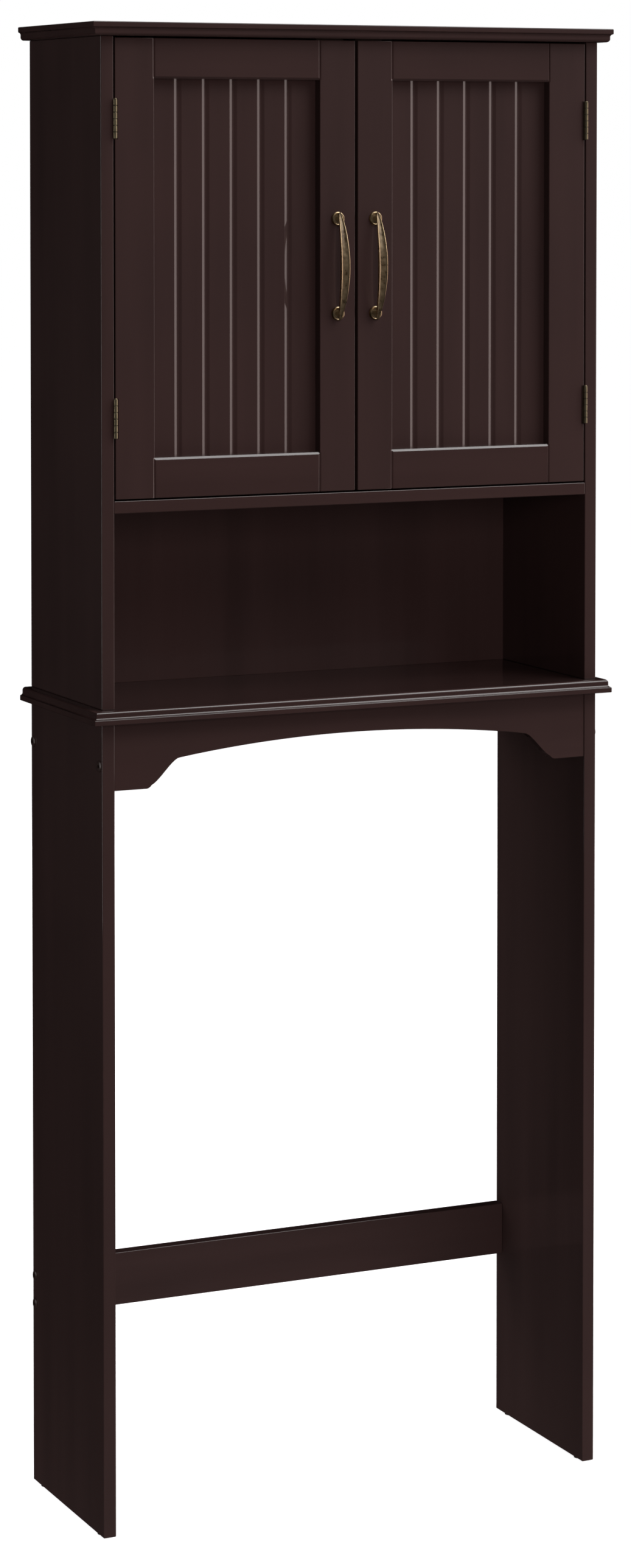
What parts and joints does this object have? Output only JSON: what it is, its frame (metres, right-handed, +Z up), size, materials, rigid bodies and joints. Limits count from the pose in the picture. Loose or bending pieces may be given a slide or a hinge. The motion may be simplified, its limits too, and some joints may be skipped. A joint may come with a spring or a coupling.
{
  "type": "over the toilet storage rack",
  "caption": "Tall wooden rack that stands over a toilet: a two-door panelled cabinet above an open shelf, on two full-depth leg panels with an arched apron and a low rear stretcher.",
  "frame": {"origin": "on the floor, at the middle of the whole footprint", "axes": "+X to the right as seen from the front, -Y to the front where the doors are, +Z up"},
  "size_m": [0.655, 0.242, 1.7],
  "materials": {
    "espresso_paint": "satin espresso lacquer",
    "espresso_back": "dull espresso foil",
    "handle_brass": "antique brass",
    "hinge_brass": "antique brass",
    "bolt_bronze": "dark bronze",
    "zinc_steel": "zinc plated",
    "brown_plastic": "moulded",
    "glide_plastic": "moulded",
    "magnet": "sintered ferrite",
    "beech": "raw beech"
  },
  "bodies": {
    "root": {"top_board": "espresso_paint", "upper_side_left": "espresso_paint", "upper_side_right": "espresso_paint", "cabinet_floor": "espresso_paint", "inner_shelf": "espresso_paint", "shelf_pins": "zinc_steel", "back_panel": "espresso_back", "middle_shelf": "espresso_paint", "leg_panel_left": "espresso_paint", "leg_panel_right": "espresso_paint", "apron": "espresso_paint", "rear_rail": "espresso_paint", "lower_stretcher": "espresso_paint", "frame_leaf_upper_left": "hinge_brass", "frame_leaf_lower_left": "hinge_brass", "frame_leaf_upper_right": "hinge_brass", "frame_leaf_lower_right": "hinge_brass", "hinge_pins": "hinge_brass", "frame_leaf_screws": "hinge_brass", "catch_case_left": "brown_plastic", "catch_case_right": "brown_plastic", "catch_magnets": "magnet", "catch_poles": "zinc_steel", "catch_screws": "zinc_steel", "wall_bracket_left": "zinc_steel", "wall_bracket_right": "zinc_steel", "wall_bracket_screws": "zinc_steel", "cam_studs": "zinc_steel", "cam_discs": "zinc_steel", "shelf_screws": "zinc_steel", "wood_dowels": "beech", "connector_bolts": "bolt_bronze", "barrel_nuts": "zinc_steel", "foot_glides": "glide_plastic"},
    "left_door": {"hinge_stile_left": "espresso_paint", "meeting_stile_left": "espresso_paint", "top_rail_left": "espresso_paint", "bottom_rail_left": "espresso_paint", "door_panel_left": "espresso_paint", "door_leaf_upper_left": "hinge_brass", "door_leaf_lower_left": "hinge_brass", "door_leaf_screws_left": "hinge_brass", "handle_bow_left": "handle_brass", "handle_rosettes_left": "handle_brass", "handle_screws_left": "zinc_steel", "strike_plate_left": "zinc_steel", "strike_screw_left": "zinc_steel"},
    "right_door": {"hinge_stile_right": "espresso_paint", "meeting_stile_right": "espresso_paint", "top_rail_right": "espresso_paint", "bottom_rail_right": "espresso_paint", "door_panel_right": "espresso_paint", "door_leaf_upper_right": "hinge_brass", "door_leaf_lower_right": "hinge_brass", "door_leaf_screws_right": "hinge_brass", "handle_bow_right": "handle_brass", "handle_rosettes_right": "handle_brass", "handle_screws_right": "zinc_steel", "strike_plate_right": "zinc_steel", "strike_screw_right": "zinc_steel"}
  },
  "joints": [
    {"name": "left_door_hinge", "type": "hinge", "parent": "root", "child": "left_door", "pos_m": [-0.2975, -0.1016, 1.42625], "axis": [0, 0, -1], "range_deg": [0, 170]},
    {"name": "right_door_hinge", "type": "hinge", "parent": "root", "child": "right_door", "pos_m": [0.2975, -0.1016, 1.42625], "axis": [0, 0, 1], "range_deg": [0, 170]}
  ]
}
